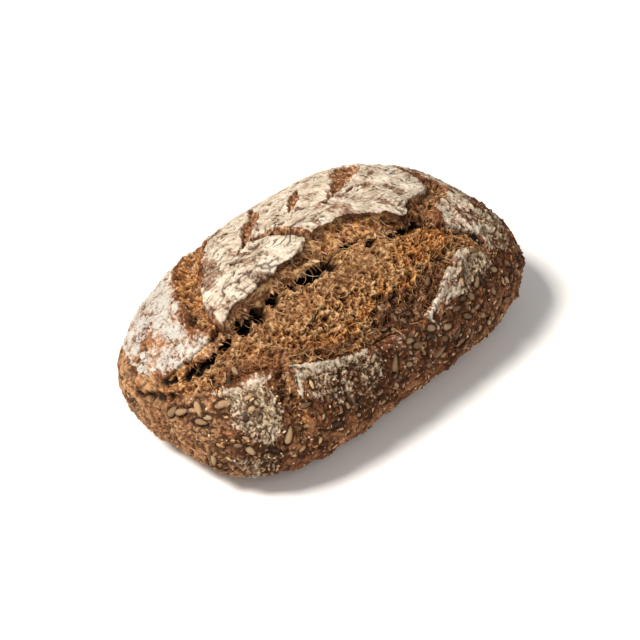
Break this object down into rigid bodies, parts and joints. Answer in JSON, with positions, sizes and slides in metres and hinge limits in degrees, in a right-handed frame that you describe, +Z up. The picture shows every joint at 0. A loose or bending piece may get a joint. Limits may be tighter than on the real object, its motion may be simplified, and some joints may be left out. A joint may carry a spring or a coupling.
{
  "type": "rye bread loaf",
  "caption": "Long rounded hearth loaf with a floured crust, an open slash down its length, torn crumb and seeds baked into its sides",
  "frame": {"origin": "on the sole, under the middle of the loaf's bounding box", "axes": "+X along the loaf, -Y toward the side the slash opens to, +Z up"},
  "size_m": [0.2582, 0.159, 0.0939],
  "materials": {
    "crust": "matt browned crust",
    "flour": "dry baked-on flour",
    "crumb": "matt open crumb",
    "kernels": "toasted seed, slight sheen"
  },
  "bodies": {
    "root": {"loaf": "crust"}
  },
  "joints": []
}
